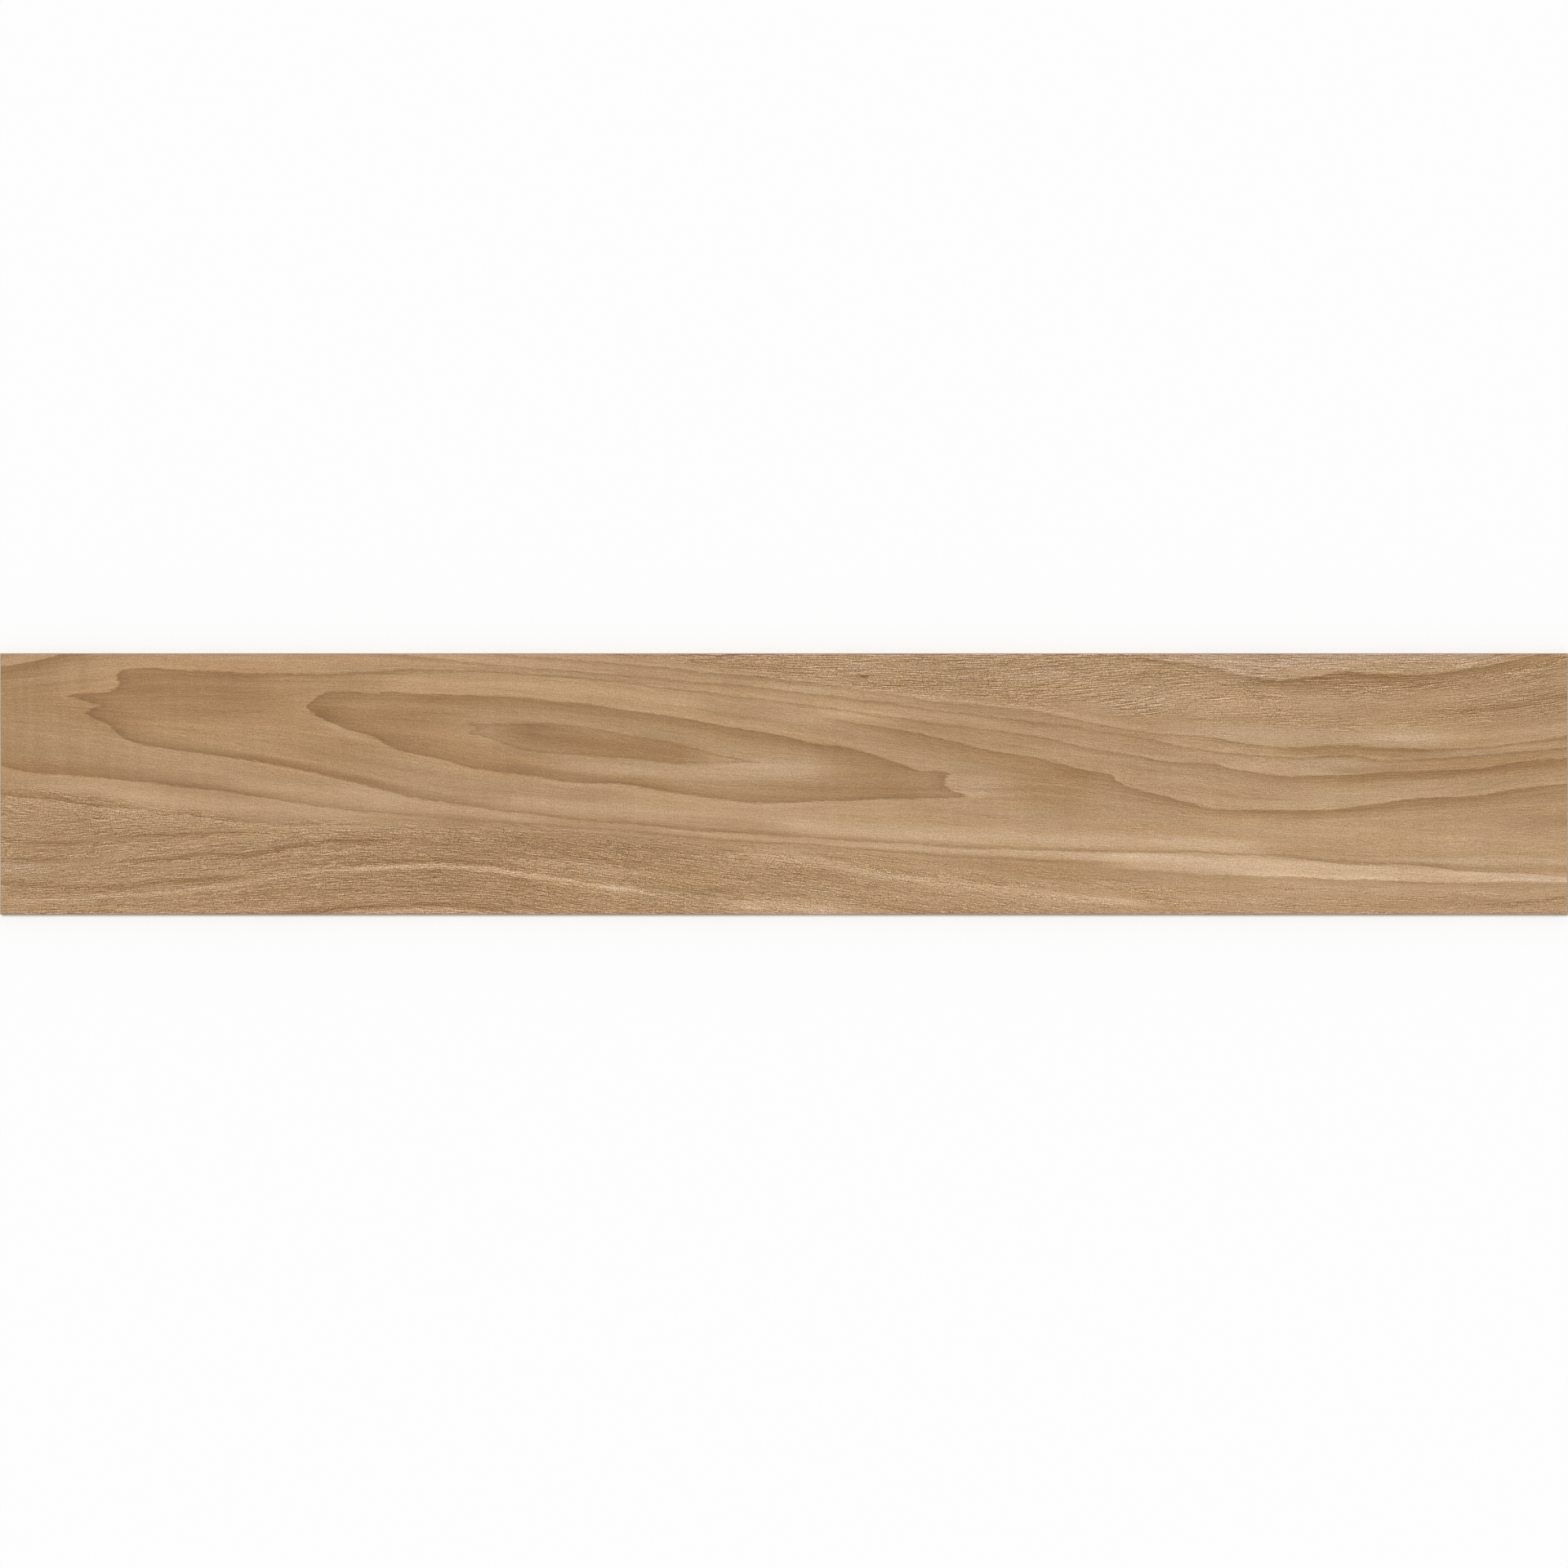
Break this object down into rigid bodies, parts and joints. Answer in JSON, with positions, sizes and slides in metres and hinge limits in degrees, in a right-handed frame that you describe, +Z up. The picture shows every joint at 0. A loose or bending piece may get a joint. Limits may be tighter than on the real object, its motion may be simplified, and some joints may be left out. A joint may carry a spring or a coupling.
{
  "type": "wood look porcelain plank tile",
  "caption": "Long flat porcelain floor or wall tile printed to look like a light brown wood plank, with a bevelled rim and a ribbed keying back.",
  "frame": {"origin": "middle of the underside, in the plane that the back's border and ribs lie in", "axes": "+X along the plank, +Y across it, +Z up through the thickness to the wear face"},
  "size_m": [1.2, 0.2, 0.009],
  "materials": {
    "porcelain": "matte"
  },
  "bodies": {
    "root": {"plank_tile": "porcelain"}
  },
  "joints": []
}
